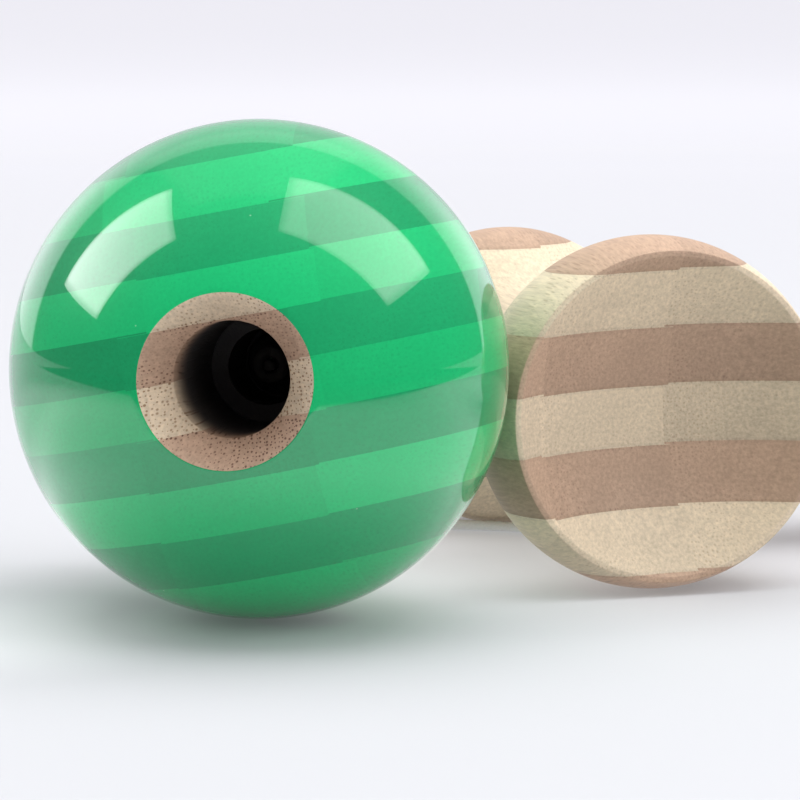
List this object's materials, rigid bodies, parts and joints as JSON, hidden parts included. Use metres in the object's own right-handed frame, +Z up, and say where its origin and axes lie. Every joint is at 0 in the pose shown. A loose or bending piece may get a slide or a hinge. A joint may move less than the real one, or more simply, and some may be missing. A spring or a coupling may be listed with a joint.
{
  "type": "kendama",
  "caption": "Laminated bamboo skill toy: a lacquered ball with a bevelled hole hangs on a string from a spiked handle that carries a cross piece with a dished cup at each end.",
  "frame": {"origin": "on the table, under the middle of the resting toy's box (string left out)", "axes": "+X along the ken towards its base cup, +Y along the cross cup towards its small cup, +Z up from the table"},
  "size_m": [0.1884, 0.0954, 0.06],
  "materials": {
    "lacquered_ball": "gloss lacquer over two-tone bamboo plies",
    "bamboo": "bare, sanded",
    "laminated_bamboo": "bare, sanded, light and brown plies",
    "bead": "smooth, black",
    "string": "twisted nylon"
  },
  "bodies": {
    "ken": {"ken": "bamboo", "cross_cup": "laminated_bamboo", "ken_knot": "string", "string_in_ken": "string", "string_ken_run": "string", "string_coil": "string", "string_ball_run": "string"},
    "bead": {"bead": "bead", "ball_knot": "string", "string_in_ball": "string"},
    "ball": {"ball": "lacquered_ball"}
  },
  "joints": [
    {"name": "ball_lift", "type": "slide", "parent": "ken", "child": "bead", "axis": [0, 0, 1], "range_m": [0, 0.25], "deforming": ["string_ball_run"]},
    {"name": "ball_spin", "type": "hinge", "parent": "bead", "child": "ball", "pos_m": [-0.06425, -0.01773, 0.03], "axis": [-0.4057, -0.9113, 0.0698], "continuous": true}
  ]
}
